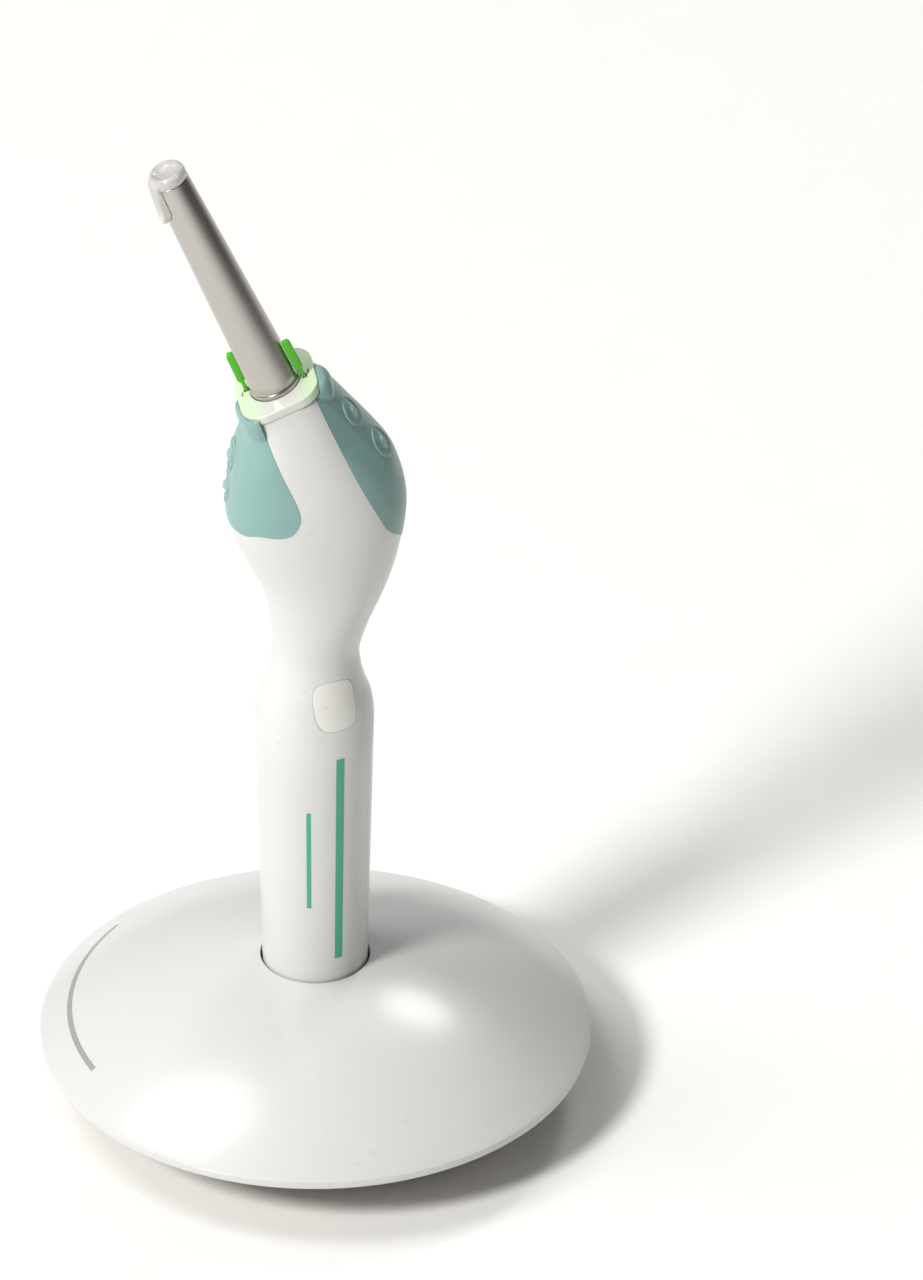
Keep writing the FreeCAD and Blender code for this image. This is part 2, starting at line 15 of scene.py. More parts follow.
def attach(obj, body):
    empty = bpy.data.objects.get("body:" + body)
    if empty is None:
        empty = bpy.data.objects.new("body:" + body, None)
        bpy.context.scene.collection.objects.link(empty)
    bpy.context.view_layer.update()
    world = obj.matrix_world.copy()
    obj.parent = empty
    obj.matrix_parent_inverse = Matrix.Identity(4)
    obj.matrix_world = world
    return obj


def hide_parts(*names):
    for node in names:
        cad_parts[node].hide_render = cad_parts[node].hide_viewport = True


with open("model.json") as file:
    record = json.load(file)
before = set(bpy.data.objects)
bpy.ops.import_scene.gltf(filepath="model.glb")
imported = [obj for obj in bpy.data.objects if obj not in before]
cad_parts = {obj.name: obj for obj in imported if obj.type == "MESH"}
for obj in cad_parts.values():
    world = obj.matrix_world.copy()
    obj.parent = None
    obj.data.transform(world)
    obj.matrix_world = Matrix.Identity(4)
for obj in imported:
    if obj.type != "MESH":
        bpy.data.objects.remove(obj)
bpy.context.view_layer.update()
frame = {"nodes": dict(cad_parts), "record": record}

MM = 0.001
LEAN_ANGLE = math.radians(22.5)
LEAN = Matrix.Translation((0, 0, 151 * MM)) @ Matrix.Rotation(-LEAN_ANGLE, 4, "Y")
SIDEWAYS = Matrix.Rotation(math.radians(-90), 4, "Y")
VIEW_AZIMUTH, VIEW_ELEVATION = math.radians(-10), math.radians(34.5)
SHARP = math.radians(32)

# Charging base and handle
BASE_RADIUS, RIM_LOW, HOLE_RADIUS, SEAT_RADIUS, SEAT_LOW = 55.0, 12.4, 10.97, 15.0, 28.2
DOME_CURVE, DOME_WALL, DOME_CENTRE, RIM_WALL = 92.0, 2.2, -59.84, 1.8
BOSS_CIRCLE, FOOT_CIRCLE = 31.8, 26.0
SLEEVE_LOW, SHOULDER_HEIGHT, FOOT_RADIUS, SHOULDER_RADIUS, SLEEVE_WALL = 13.2, 90.3, 10.1, 11.9, 1.4
ARC_RADIUS, ARC_WIDTH, ARC_START, ARC_TURN = 48.6, 1.0, math.radians(134), math.radians(62)
INLET_HEIGHT, INLET_MOUTH = 6.9, 38.6
INK_THICKNESS, INK_LIFT = 0.03, 0.02

# The head's sections from the shoulder to the collar: centre x and z, tilt in degrees, half width,
# half depth, and the power of the superellipse (2 is an ellipse, more is squarer).
HEAD_SECTIONS = [
    (0.0, 90.3, 0, 11.9, 11.9, 2.0), (0.05, 94.0, 0, 11.4, 11.4, 2.0),
    (0.1, 98.0, 0, 10.0, 10.0, 2.0), (0.2, 102.0, 0, 9.05, 9.05, 2.0),
    (0.35, 106.5, 0, 8.75, 8.75, 2.0), (1.1, 113.0, 0, 9.95, 9.9, 2.0),
    (1.9, 121.6, 0, 12.6, 11.6, 2.05), (1.4, 129.5, 2, 15.5, 13.2, 2.1),
    (0.65, 139.0, 8, 17.75, 14.6, 2.2), (-0.58, 145.8, 16, 17.6, 14.6, 2.2),
    (-2.1, 150.1, 22.5, 16.3, 14.0, 2.25), (-4.06, 157.5, 22.5, 13.15, 12.2, 2.4),
    (-4.8, 163.0, 22.5, 10.1, 10.6, 2.6), (-7.0, 167.8, 22.5, 8.2, 9.0, 3.0),
]
# Where each grip's edge runs, seen from the front: x and z from the collar down to the side.
GRIP_EDGES = {
    "left": [(-13.4, 169.5), (-9.2, 157.1), (-5.3, 147.5), (-6.2, 142.9), (-8.8, 141.2),
             (-12.8, 140.5), (-16.2, 138.9), (-24.0, 137.8)],
    "right": [(-1.6, 171.5), (5.0, 156.0), (11.0, 143.2), (13.0, 139.1), (15.4, 136.0),
              (17.2, 133.8), (24.0, 131.5)],
}
SIDES = {"left": -1, "right": 1}
# The thumb facet's two edges, seen from the front in the same way, from its top to its tip.
LEAF_EDGES = {
    "upper": [(-0.6, 168.8), (1.5, 167.9), (5.0, 163.4), (8.4, 159.0), (11.2, 155.5), (12.2, 152.6)],
    "lower": [(-0.6, 168.8), (-0.1, 166.2), (1.7, 162.5), (4.7, 158.2), (8.1, 155.0), (12.2, 152.6)],
}
LEAF_RUN = Vector((12.8, -2.4, -16.2))
# Each rolled lobe beside the collar: how far it swells, and how near the front it starts.
LOBES = {"left": (1.3, 0.3), "right": (2.2, 0.62)}
BUTTONS = {"right_upper": (7.0, -3.4, 163.5), "right_lower": (12.8, -3.7, 155.9),
           "left_upper": (-16.2, 2.8, 151.9), "left_lower": (-16.9, 3.6, 144.0)}
FACING = {"right": Vector((0.78, -0.19, 0.60)), "left": Vector((-0.98, 0.16, 0.12))}
GRIP_DEPTH, GRIP_PROUD, SHELL_WALL, WINDOW_DEPTH = 1.2, 0.13, 2.6, 1.0
GRIP_VOXEL, CAP_VOXEL = 0.21, 0.13
# Where each clip's stem comes through the collar plate, on the leaning head's own axes.
CLIP_OUT, CLIP_BACK = 5.95, -1.9
COLLAR_WIDTH, COLLAR_DEPTH, COLLAR_THICK, COLLAR_LOW, COLLAR_CORNER = 16.5, 18.4, 2.0, 18.2, 5.2


# ---------------------------------------------------------------- mesh helpers
def closed(bm):
    """Merges doubled points and turns every face outwards."""
    bmesh.ops.remove_doubles(bm, verts=bm.verts[:], dist=0.0005 * MM)
    bmesh.ops.dissolve_degenerate(bm, edges=bm.edges[:], dist=0.0005 * MM)
    bmesh.ops.recalc_face_normals(bm, faces=bm.faces[:])
    return bm


def soften(bm, width, segments=3, angle=SHARP):
    """Rounds every sharp edge to the width, in millimetres."""
    edges = [edge for edge in bm.edges if edge.is_manifold and edge.calc_face_angle(0) > angle]
    bmesh.ops.bevel(bm, geom=edges, offset=width * MM, segments=segments, profile=0.5,
                    affect="EDGES", material=-1, clamp_overlap=True)
    return bm


def placed(bm, place):
    bmesh.ops.transform(bm, matrix=place, verts=bm.verts[:])
    return bm


def turned(outline, place=Matrix(), steps=96, ring=False):
    """The outline [(radius, height), ...] turned about Z; a ring's outline joins up with itself."""
    bm = bmesh.new()
    corners = [bm.verts.new((radius * MM, 0, height * MM)) for radius, height in outline]
    for start, end in zip(corners, corners[1:] + (corners[:1] if ring else [])):
        bm.edges.new((start, end))
    bmesh.ops.spin(bm, geom=bm.verts[:] + bm.edges[:], cent=(0, 0, 0), axis=(0, 0, 1),
                   angle=2 * math.pi, steps=steps, use_merge=True)
    return placed(closed(bm), place)


def block(length, width, height, place=Matrix()):
    """A box centred on its own X and Y, standing on its Z."""
    bm = bmesh.new()
    shape = Matrix.Diagonal((length * MM, width * MM, height * MM, 1))
    bmesh.ops.create_cube(bm, size=1.0, matrix=shape)
    return placed(placed(bm, Matrix.Translation((0, 0, height * MM / 2))), place)


def prism(outline, depth, place=Matrix()):
    """The flat outline [(x, z), ...] in millimetres, made a solid that is centred on its Y."""
    bm = bmesh.new()
    face = bm.faces.new([bm.verts.new((x * MM, -depth * MM / 2, z * MM)) for x, z in outline])
    pushed = bmesh.ops.extrude_face_region(bm, geom=[face])["geom"]
    moved = [item for item in pushed if isinstance(item, bmesh.types.BMVert)]
    bmesh.ops.translate(bm, verts=moved, vec=(0, depth * MM, 0))
    return placed(closed(bm), place)


def lofted(rings):
    """A closed solid through rings of points that all have the same number of them."""
    bm = bmesh.new()
    loops = []
    for points in rings:
        circle = bmesh.ops.create_circle(bm, segments=len(points), radius=1.0)["verts"]
        for vert, point in zip(circle, points):
            vert.co = point
        loops.append(list({edge for vert in circle for edge in vert.link_edges}))
    for lower, upper in zip(loops, loops[1:]):
        bmesh.ops.bridge_loops(bm, edges=lower + upper)
    bmesh.ops.holes_fill(bm, edges=[edge for edge in bm.edges if edge.is_boundary], sides=0)
    return closed(bm)


def joined(*meshes):
    """Several meshes in one, which touch or overlap but aren't cut together."""
    whole = bmesh.new()
    for bm in meshes:
        spare = bpy.data.meshes.new("spare")
        bm.to_mesh(spare)
        bm.free()
        whole.from_mesh(spare)
        bpy.data.meshes.remove(spare)
    return whole


def shown(name, bm):
    """The mesh as an object of the scene."""
    mesh = bpy.data.meshes.new(name)
    bm.to_mesh(mesh)
    bm.free()
    piece = bpy.data.objects.new(name, mesh)
    bpy.context.scene.collection.objects.link(piece)
    return piece


def evaluated(piece):
    """The piece's mesh with its modifiers applied; the piece itself is removed."""
    bpy.context.view_layer.update()
    spare = bpy.data.meshes.new_from_object(
        piece.evaluated_get(bpy.context.evaluated_depsgraph_get()))
    bm = bmesh.new()
    bm.from_mesh(spare)
    bpy.data.objects.remove(piece)
    bpy.data.meshes.remove(spare)
    return bm


def carved(bm, tool, operation="DIFFERENCE"):
    """One solid cut by, joined to or met with another."""
    piece, other = shown("work", bm), shown("tool", tool)
    change = piece.modifiers.new("cut", "BOOLEAN")
    change.operation, change.solver, change.object = operation, "EXACT", other
    result = evaluated(piece)
    bpy.data.objects.remove(other)
    return result


def remeshed(bm, voxel, passes):
    """Solids that overlap, melted into one even skin and smoothed."""
    piece = shown("work", bm)
    change = piece.modifiers.new("melt", "REMESH")
    change.mode, change.voxel_size, change.adaptivity = "VOXEL", voxel * MM, 0.0
    result = evaluated(piece)
    for _ in range(passes):
        bmesh.ops.smooth_vert(result, verts=result.verts[:], factor=0.5,
                              use_axis_x=True, use_axis_y=True, use_axis_z=True)
    return result


def piece(name, bm, body, slot, replaces=(), material=None):
    """Finishes a mesh as a piece of the object, smooth but for its sharp edges, that rides on its
    body and takes its slot's finish unless another material is given."""
    for face in bm.faces:
        face.smooth = True
    for edge in bm.edges:
        edge.smooth = edge.is_manifold and edge.calc_face_angle(0) < SHARP
    thing = shown(name, bm)
    thing.data.materials.append(material or FINISHES[slot]())
    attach(thing, body)
    if replaces:
        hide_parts(*replaces)
    return thing


# ---------------------------------------------------------------- materials
def linear(code, alpha=1.0):
    """An sRGB hex colour as the linear values that shaders take."""
    parts = [int(code[start:start + 2], 16) / 255 for start in (1, 3, 5)]
    return tuple(part / 12.92 if part <= 0.04045 else ((part + 0.055) / 1.055) ** 2.4
                 for part in parts) + (alpha,)


def add(tree, kind, settings=None, **inputs):
    """Adds a node with its settings; each input is a value, or a socket to link from."""
    node = tree.nodes.new("ShaderNode" + kind)
    for key, value in (settings or {}).items():
        setattr(node, key, value)
    for key, value in inputs.items():
        name = key.replace("_", " ")
        socket = node.inputs[int(name[2:])] if name.startswith("no") else node.inputs[name]
        if isinstance(value, bpy.types.NodeSocket):
            tree.links.new(value, socket)
        else:
            socket.default_value = value
    return node


MADE = {}


def material(name, build):
    """Makes a material once: build(tree, place) returns its shader."""
    if name not in MADE:
        made = bpy.data.materials.new(name)
        made.use_nodes = True
        tree = made.node_tree
        tree.nodes.clear()
        place = add(tree, "TexCoord").outputs["Object"]
        shader = build(tree, place)
        add(tree, "OutputMaterial", Surface=shader.outputs[0])
        MADE[name] = made
    return MADE[name]


def speckled(tree, place, colour, spread, size):
    """A colour that drifts a little, in patches of the size in millimetres."""
    noise = add(tree, "TexNoise", Vector=place, Scale=1 / (size * MM), Detail=2.0)
    second = tuple(part * (1 - spread) for part in linear(colour)[:3]) + (1.0,)
    mixed = add(tree, "Mix", {"data_type": "RGBA"}, no0=noise.outputs["Fac"],
                no6=linear(colour), no7=second)
    return mixed.outputs[2]


def drifting(tree, place, middle, spread, size):
    """A roughness that wanders round its middle, in patches of the size in millimetres."""
    noise = add(tree, "TexNoise", Vector=place, Scale=1 / (size * MM), Detail=3.0)
    span = add(tree, "MapRange", Value=noise.outputs["Fac"], To_Min=middle - spread,
               To_Max=middle + spread)
    return span.outputs["Result"]


def grained(tree, place, size, height):
    """Relief of moulded grain: its grain size and height in millimetres."""
    noise = add(tree, "TexNoise", Vector=place, Scale=1 / (size * MM), Detail=2.0)
    return add(tree, "Bump", Height=noise.outputs["Fac"], Distance=height * MM,
               Strength=1.0).outputs["Normal"]


def plastic(name, colour, roughness, grain, height, **extra):
    """Moulded plastic: its tone drifts slightly, and its tool's grain shows in the gloss."""
    def build(tree, place):
        return add(tree, "BsdfPrincipled",
                   Base_Color=speckled(tree, place, colour, 0.03, 14),
                   Roughness=drifting(tree, place, roughness, roughness * 0.12, 6),
                   Normal=grained(tree, place, grain, height), IOR=1.5, **extra)
    return material(name, build)


def metal(name, colour, roughness, line, height, axis="Z"):
    """Machined metal: fine tool lines run round it, line millimetres apart."""
    def build(tree, place):
        wave = add(tree, "TexWave", {"bands_direction": axis}, Vector=place,
                   Scale=1 / (line * MM * 20) * 2 * math.pi / 3, Distortion=1.5, Detail=2.0,
                   Detail_Scale=2.0)
        relief = add(tree, "Bump", Height=wave.outputs["Fac"], Distance=height * MM, Strength=1.0)
        return add(tree, "BsdfPrincipled", Metallic=1.0,
                   Base_Color=speckled(tree, place, colour, 0.08, 5),
                   Roughness=drifting(tree, place, roughness, 0.05, 3),
                   Normal=relief.outputs["Normal"])
    return material(name, build)


def glossy_abs():
    # ABS, moulded in a polished tool: a bright, deep gloss with broad soft highlights
    return plastic("moulded_gloss_abs", "#D2D3D1", 0.29, 9.0, 0.002, Coat_Weight=0.3,
                   Coat_Roughness=0.16)


def textured_abs():
    # ABS from a spark-eroded tool: a fine matt grain, 0.35 mm so that it shows
    return plastic("textured_grey_abs", "#B4B2AD", 0.55, 0.35, 0.012)


def satin_nylon():
    # Nylon, moulded: off-white with a satin, faintly waxy skin
    return plastic("moulded_satin_nylon", "#CFCDC6", 0.42, 0.6, 0.006)


def black_nylon():
    # Glass-filled nylon: matt black with a faint pale fibre mottle
    return plastic("glass_filled_nylon", "#1C1C1E", 0.5, 0.3, 0.008)


def green_acetal():
    # Acetal, dyed through: bright and slightly waxy, so its edges glow a little
    return plastic("moulded_green_acetal", "#4CB414", 0.34, 0.8, 0.004, Subsurface_Weight=0.25,
                   Subsurface_Radius=(0.4, 1.0, 0.25), Subsurface_Scale=0.8 * MM)


def pale_polycarbonate():
    # Pale polycarbonate: the green tint that grows towards the two clips is painted green light
    # bounced from them
    def build(tree, place):
        foot = LEAN @ Vector((0, 0, 19.2 * MM))
        centred = add(tree, "Mapping", {"vector_type": "TEXTURE"}, Vector=place, Location=foot,
                      Rotation=(0, -LEAN_ANGLE, 0))
        out = add(tree, "SeparateXYZ", Vector=centred.outputs[0])
        aside = add(tree, "Math", {"operation": "ABSOLUTE"}, no0=out.outputs["X"])
        # painted green bounce light: the tint grows with distance sideways from the probe, towards
        # the clips
        near = add(tree, "MapRange", {"interpolation_type": "SMOOTHSTEP"},
                   Value=aside.outputs["Value"], From_Min=2.5 * MM, From_Max=7 * MM)
        tone = add(tree, "Mix", {"data_type": "RGBA"}, no0=near.outputs["Result"],
                   no6=linear("#D3D4CE"), no7=linear("#CFE3C2"))
        return add(tree, "BsdfPrincipled", Base_Color=tone.outputs[2],
                   Roughness=drifting(tree, place, 0.24, 0.03, 5), IOR=1.58,
                   Normal=grained(tree, place, 8, 0.003), Subsurface_Weight=0.15,
                   Subsurface_Radius=(0.8, 1.0, 0.7), Subsurface_Scale=1.0 * MM)
    return material("polycarbonate_painted_green_bounce", build)


def silicone(name, colour, roughness):
    """Liquid silicone rubber: silky, with a soft bloom of skin oil and dust in its sheen."""
    def build(tree, place):
        return add(tree, "BsdfPrincipled",
                   Base_Color=speckled(tree, place, colour, 0.06, 7),
                   Roughness=drifting(tree, place, roughness, 0.05, 4), IOR=1.43,
                   Normal=grained(tree, place, 0.5, 0.004), Sheen_Weight=0.06,
                   Sheen_Roughness=0.4, Subsurface_Weight=0.12,
                   Subsurface_Radius=(0.5, 0.9, 0.9), Subsurface_Scale=0.7 * MM)
    return material(name, build)


def teal_silicone():
    # Silicone, moulded over the head: a soft grey-green teal with long dull highlights
    return silicone("teal_liquid_silicone", "#82A6A2", 0.34)


def button_silicone():
    # The same silicone from a polished cavity: paler, with a small bright glint on each nub
    return silicone("teal_button_silicone", "#8FB2AE", 0.24)


def black_rubber():
    # Rubber, moulded: dull black, with barely any glint
    return plastic("moulded_black_rubber", "#232323", 0.62, 0.4, 0.01)


def anodised_aluminium():
    # Aluminium, turned, bead-blasted and anodised warm grey: a satin skin that draws
    # reflections out into long bands
    def build(tree, place):
        along = add(tree, "Mapping", {"vector_type": "TEXTURE"}, Vector=place,
                    Rotation=(0, -LEAN_ANGLE, 0), Scale=(1, 1, 30))
        streak = add(tree, "TexNoise", Vector=along.outputs[0], Scale=1 / (0.5 * MM), Detail=3.0)
        rough = add(tree, "MapRange", Value=streak.outputs["Fac"], To_Min=0.2, To_Max=0.27)
        relief = add(tree, "Bump", Height=streak.outputs["Fac"], Distance=0.0006 * MM,
                     Strength=0.6)
        return add(tree, "BsdfPrincipled", Metallic=1.0,
                   Base_Color=speckled(tree, place, "#BDB9B5", 0.05, 4),
                   Roughness=rough.outputs["Result"], Normal=relief.outputs["Normal"])
    return material("anodised_aluminium", build)


def clear_polycarbonate(name, colour, roughness, weight):
    def build(tree, place):
        return add(tree, "BsdfPrincipled", Base_Color=linear(colour),
                   Roughness=drifting(tree, place, roughness, roughness * 0.2, 3), IOR=1.58,
                   Transmission_Weight=weight, Normal=grained(tree, place, 2.5, 0.003))
    return material(name, build)


def frosted_window():
    # Smoke-tinted polycarbonate, frosted behind: hides the lamp until it is lit
    return clear_polycarbonate("frosted_polycarbonate", "#E6E6E0", 0.3, 0.06)


def clear_shield():
    # Thin vacuum-formed polycarbonate: glassy, slightly milky, with bright edges
    return clear_polycarbonate("clear_shield_polycarbonate", "#EFEDEA", 0.06, 0.55)


def lens_glass():
    # Optical glass, polished: clear, with one sharp glint
    return clear_polycarbonate("polished_glass", "#F4F8FA", 0.02, 1.0)


def solder_mask():
    # Glass-epoxy board: green mask over a faint pattern of copper tracks 0.8 mm apart
    def build(tree, place):
        tracks = add(tree, "TexBrick", Vector=place, Scale=1 / (3.2 * MM),
                     Color1=linear("#1F6B3A"), Color2=linear("#267A45"),
                     Mortar=linear("#123F23"), Mortar_Size=0.06)
        relief = add(tree, "Bump", Height=tracks.outputs["Fac"], Distance=0.02 * MM,
                     Strength=0.5)
        return add(tree, "BsdfPrincipled", Base_Color=tracks.outputs["Color"],
                   Roughness=drifting(tree, place, 0.35, 0.05, 2),
                   Normal=relief.outputs["Normal"], IOR=1.5)
    return material("glass_epoxy_board", build)


def cell_wrap():
    # Shrink film over a steel can: even blue with a smooth film's gloss
    return plastic("shrink_wrapped_cell", "#2B5FA6", 0.3, 2.0, 0.01, Coat_Weight=0.3)


def ceramic():
    # Alumina: creamy white, fired to a fine dull grain
    return plastic("alumina_ceramic", "#E8E3D2", 0.4, 0.3, 0.004)


def zinc_steel():
    # Zinc-plated steel: pale grey, with turning marks 0.4 mm apart
    return metal("zinc_plated_steel", "#A9ABAD", 0.3, 0.4, 0.004)


def bright_steel():
    # Drawn spring wire: bright, with fine die lines
    return metal("drawn_spring_steel", "#C4C5C7", 0.2, 0.3, 0.003)


def screw_steel():
    # Zinc-plated screws: a little brighter than the ring
    return metal("zinc_plated_screw", "#B2B3B5", 0.28, 0.3, 0.003)


def nickel():
    # Nickel strip: warm grey, with fine rolling lines
    return metal("nickel_strip", "#C9C6BE", 0.26, 0.5, 0.003, "X")


def gold_plate():
    # Gold over brass: smooth and deep yellow
    return metal("gold_plated_brass", "#E3C069", 0.18, 0.3, 0.002)


def bright_aluminium():
    # Turned aluminium: cool and bright, with fine tool lines
    return metal("turned_aluminium", "#D3D5D7", 0.24, 0.35, 0.004)


def copper():
    # Drawn copper: warm orange-brown, lightly lined
    return metal("drawn_copper", "#C67F55", 0.24, 0.6, 0.003)


def red_pvc():
    # Wire insulation: satin red, slightly uneven
    return plastic("wire_pvc", "#A8201E", 0.4, 1.0, 0.004)


def pad_print(name, colour):
    # Pad-printing ink: a thin satin film, a little thinner in places
    return plastic(name, colour, 0.3, 0.5, 0.002)


def floor_paper():
    # Matt paper sweep: plain white
    return plastic("matt_paper", "#F8F7F4", 0.9, 1.5, 0.01)


FINISHES = {
    "white_abs": glossy_abs, "grey_abs": textured_abs, "cup_nylon": satin_nylon,
    "ballast_steel": zinc_steel, "circuit_board": solder_mask, "insulator": black_nylon,
    "gold_contact": gold_plate, "spring_steel": bright_steel, "screw_steel": screw_steel,
    "foot_rubber": black_rubber, "seal_rubber": black_rubber, "cell_wrap": cell_wrap,
    "nickel_plate": nickel, "clear_window": frosted_window, "teal_silicone": teal_silicone,
    "button_silicone": button_silicone, "core_aluminium": bright_aluminium,
    "collar_white": pale_polycarbonate, "clip_green": green_acetal,
    "probe_metal": anodised_aluminium, "copper_rod": copper, "led_ceramic": ceramic,
    "lens_glass": lens_glass, "clear_shield": clear_shield, "wire_jacket": red_pvc,
}


def finish_cad_nodes():
    """Gives every node of the frame the finish of its slot in the record."""
    for part in frame["record"]["subparts"]:
        node = frame["nodes"].get(part["node"])
        if node is not None:
            finish = FINISHES[part["material_slot"]]()
            for index in range(len(node.data.materials)):
                node.data.materials[index] = finish
            if len(node.data.materials) == 0:
                node.data.materials.append(finish)


# ---------------------------------------------------------------- charging base
def sphere_height(radius, curve=DOME_CURVE):
    """How high the dome's sphere stands at that radius from the middle."""
    return DOME_CENTRE + math.sqrt(curve * curve - radius * radius)


def across(start, end, steps):
    return [start + (end - start) * step / steps for step in range(steps + 1)]


def boss_places():
    """The four places round the base where a screw goes up into a boss."""
    return [Matrix.Rotation(math.radians(45 + 90 * step), 4, "Z")
            @ Matrix.Translation((BOSS_CIRCLE * MM, 0, 0)) for step in range(4)]


def base_dome():
    inner = DOME_CURVE - DOME_WALL
    outline = [(radius, sphere_height(radius)) for radius in across(HOLE_RADIUS, BASE_RADIUS, 44)]
    outline += [(BASE_RADIUS, RIM_LOW), (BASE_RADIUS - RIM_WALL, RIM_LOW)]
    outline += [(radius, sphere_height(radius, inner))
                for radius in across(BASE_RADIUS - RIM_WALL, SEAT_RADIUS, 30)]
    outline += [(SEAT_RADIUS, SEAT_LOW), (HOLE_RADIUS, SEAT_LOW)]
    dome = soften(turned(outline, steps=160, ring=True), 0.3)
    post = [(1.1, 15), (1.1, 3.3), (2.8, 3.3), (2.8, 23.6), (0, 23.6), (0, 15)]
    posts = [turned(post, place, 32) for place in boss_places()]
    piece("base_dome_shell", joined(dome, *posts), "base", "white_abs", ["base_dome"])


def rubber_feet():
    feet = []
    for step in range(4):
        angle = math.radians(90 * step)
        place = Matrix.Translation((FOOT_CIRCLE * MM * math.cos(angle),
                                    FOOT_CIRCLE * MM * math.sin(angle), 0))
        foot = turned([(0, 0.35), (3.2, 0.35), (3.5, 0.0), (4.7, 0.0), (5.0, 0.35), (5.0, 1.5),
                       (0, 1.5)], place, 48)
        feet.append(soften(foot, 0.12, 2, math.radians(40)))
    piece("rubber_foot_pads", joined(*feet), "base", "foot_rubber", ["rubber_feet"])


def base_screws():
    """Four pan-head screws with a cross recess."""
    screws = []
    for place in boss_places():
        screw = turned([(0, 0.5), (1.7, 0.55), (2.25, 0.85), (2.4, 1.5), (1.05, 1.5), (1.05, 11.2),
                        (0, 12)], place, 32)
        for angle in (20, 110):
            cross = Matrix.Rotation(math.radians(angle), 4, "Z")
            screw = carved(screw, block(2.4, 0.5, 0.9, place @ cross @ Matrix.Translation(
                (0, 0, 0.3 * MM))))
        screws.append(screw)
    piece("cross_head_screws", joined(*screws), "base", "screw_steel", ["base_screws"])


def power_inlet():
    """A barrel socket: a black case with a round bore, and a bright pin in it."""
    inward = Matrix.Rotation(math.radians(-90), 4, "X")
    mouth = Matrix.Translation((0, INLET_MOUTH * MM, INLET_HEIGHT * MM)) @ inward
    case = soften(block(9, 9.5, 6, Matrix.Translation((0, 41.75 * MM, 3.9 * MM))), 0.3)
    case = carved(case, turned([(0, 0), (2.75, 0), (2.75, 8.2), (0, 8.2)], mouth, 48))
    pin = turned([(0, 0.2), (0.65, 0.2), (0.65, 6.6), (0.35, 7.2), (0, 7.3)], mouth, 24)
    socket = piece("barrel_inlet", joined(case, pin), "base", "insulator", ["power_inlet"])
    socket.data.materials.append(gold_plate())
    axis = Vector((0, 0, INLET_HEIGHT * MM))
    for face in socket.data.polygons:
        off = face.center - axis
        if math.hypot(off.x, off.z) < 0.8 * MM and face.center.y > (INLET_MOUTH + 0.1) * MM:
            face.material_index = 1


def base_print():
    """A plain grey arc of film round the dome's left side, where a base may carry its maker's
    marking."""
    outline = [(radius, sphere_height(radius) + INK_LIFT)
               for radius in (ARC_RADIUS, ARC_RADIUS + ARC_WIDTH)]
    bm = bmesh.new()
    ends = [bm.verts.new((radius * MM, 0, height * MM)) for radius, height in outline]
    edge = bm.edges.new(ends)
    bmesh.ops.spin(bm, geom=ends + [edge], cent=(0, 0, 0), axis=(0, 0, 1), angle=ARC_TURN,
                   steps=60)
    bmesh.ops.rotate(bm, verts=bm.verts[:], cent=(0, 0, 0),
                     matrix=Matrix.Rotation(ARC_START, 3, "Z"))
    bmesh.ops.solidify(bm, geom=bm.faces[:], thickness=INK_THICKNESS * MM)
    bmesh.ops.recalc_face_normals(bm, faces=bm.faces[:])
    piece("dome_print", bm, "base", "white_abs", material=pad_print("grey_print_ink", "#9C9B97"))


# ---------------------------------------------------------------- handle
def sleeve_radius(height):
    """The handle's taper, from its foot to its shoulder."""
    share = (height - SLEEVE_LOW - 0.6) / (SHOULDER_HEIGHT - SLEEVE_LOW - 0.6)
    return FOOT_RADIUS + (SHOULDER_RADIUS - FOOT_RADIUS) * share


def handle_sleeve():
    outline = [(FOOT_RADIUS - SLEEVE_WALL, SLEEVE_LOW), (FOOT_RADIUS - 0.4, SLEEVE_LOW)]
    outline += [(sleeve_radius(height), height)
                for height in across(SLEEVE_LOW + 0.6, SHOULDER_HEIGHT, 8)]
    outline += [(SHOULDER_RADIUS - SLEEVE_WALL, SHOULDER_HEIGHT)]
    sleeve = soften(turned(outline, steps=128, ring=True), 0.08, 2)
    piece("handle_tube", sleeve, "pen", "white_abs", ["handle_sleeve"])


def handle_print():
    """Two plain green bars down the front of the handle."""
    ink = pad_print("green_print_ink", "#43A585")
    for name, angle, low, high, width in (("wide", -74, 36.8, 85.6, 1.7),
                                          ("narrow", -106, 49.7, 73.0, 0.9)):
        bm = bmesh.new()
        ends = [bm.verts.new(((sleeve_radius(height) + INK_LIFT) * MM, 0, height * MM))
                for height in (low, high)]
        edge = bm.edges.new(ends)
        turn = width / sleeve_radius((low + high) / 2)
        bmesh.ops.spin(bm, geom=ends + [edge], cent=(0, 0, 0), axis=(0, 0, 1), angle=turn, steps=6)
        bmesh.ops.rotate(bm, verts=bm.verts[:], cent=(0, 0, 0),
                         matrix=Matrix.Rotation(math.radians(angle) - turn / 2, 3, "Z"))
        bmesh.ops.solidify(bm, geom=bm.faces[:], thickness=INK_THICKNESS * MM)
        bmesh.ops.recalc_face_normals(bm, faces=bm.faces[:])
        piece("handle_print_" + name, bm, "pen", "white_abs", material=ink)


# ---------------------------------------------------------------- head
def between(rows, spot):
    """A smooth curve through the rows of numbers, at a place counted in rows."""
    index = min(int(spot), len(rows) - 2)
    share = spot - index
    before, here = rows[max(index - 1, 0)], rows[index]
    there, after = rows[index + 1], rows[min(index + 2, len(rows) - 1)]
    return [0.5 * (2 * b + (c - a) * share + (2 * a - 5 * b + 4 * c - d) * share ** 2
                   + (3 * b - a - 3 * c + d) * share ** 3)
            for a, b, c, d in zip(before, here, there, after)]


